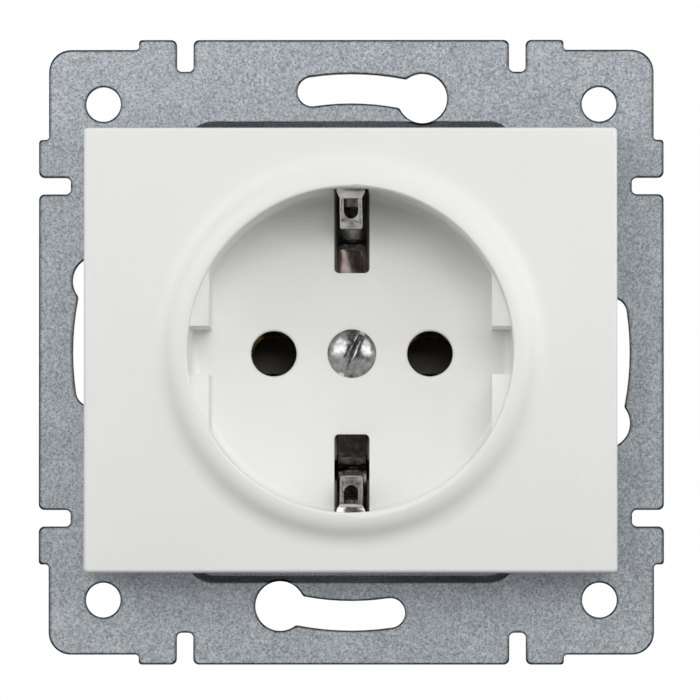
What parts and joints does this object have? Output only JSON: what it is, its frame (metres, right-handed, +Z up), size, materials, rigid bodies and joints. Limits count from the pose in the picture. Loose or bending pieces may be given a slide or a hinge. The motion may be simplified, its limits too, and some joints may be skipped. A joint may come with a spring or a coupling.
{
  "type": "type f wall socket",
  "caption": "Flush wall socket insert: round plug recess with side earth clips in a rectangular cover, on a square sheet-metal support frame with a terminal body behind.",
  "frame": {"origin": "centre of the circle of box screws, in the plane of the support frame's back face, which lies on the wall", "axes": "+Y into the wall along the axis of the recess, so the socket's front looks towards -Y; +Z up, earth clips above and below; +X right seen from the front"},
  "size_m": [0.0756, 0.0401, 0.0756],
  "materials": {
    "white_cover": "satin moulded",
    "galvanised_sheet": "zinc coated, fine grained",
    "grey_carrier": "moulded, fine grain",
    "grey_guard": "moulded, fine grain",
    "brass_contact": "bright rolled",
    "earth_spring": "tinned spring strip",
    "cover_screw_steel": "nickel plated",
    "plated_steel": "zinc plated"
  },
  "bodies": {
    "root": {"contact_carrier": "grey_carrier", "contact_guard": "grey_guard", "cover_plate": "white_cover", "cover_screw": "cover_screw_steel", "cover_screw_insert": "brass_contact", "earth_bracket": "earth_spring", "earth_clamp_left": "plated_steel", "earth_clamp_right": "plated_steel", "earth_screw_left": "plated_steel", "earth_screw_right": "plated_steel", "frame_screw_lower_left": "plated_steel", "frame_screw_lower_right": "plated_steel", "frame_screw_upper_left": "plated_steel", "frame_screw_upper_right": "plated_steel", "guard_screw_lower": "plated_steel", "guard_screw_upper": "plated_steel", "pin_contact_left": "brass_contact", "pin_contact_right": "brass_contact", "support_frame": "galvanised_sheet", "terminal_clamp_left_lower": "plated_steel", "terminal_clamp_left_upper": "plated_steel", "terminal_clamp_right_lower": "plated_steel", "terminal_clamp_right_upper": "plated_steel", "terminal_screw_left_lower": "plated_steel", "terminal_screw_left_upper": "plated_steel", "terminal_screw_right_lower": "plated_steel", "terminal_screw_right_upper": "plated_steel"}
  },
  "joints": []
}
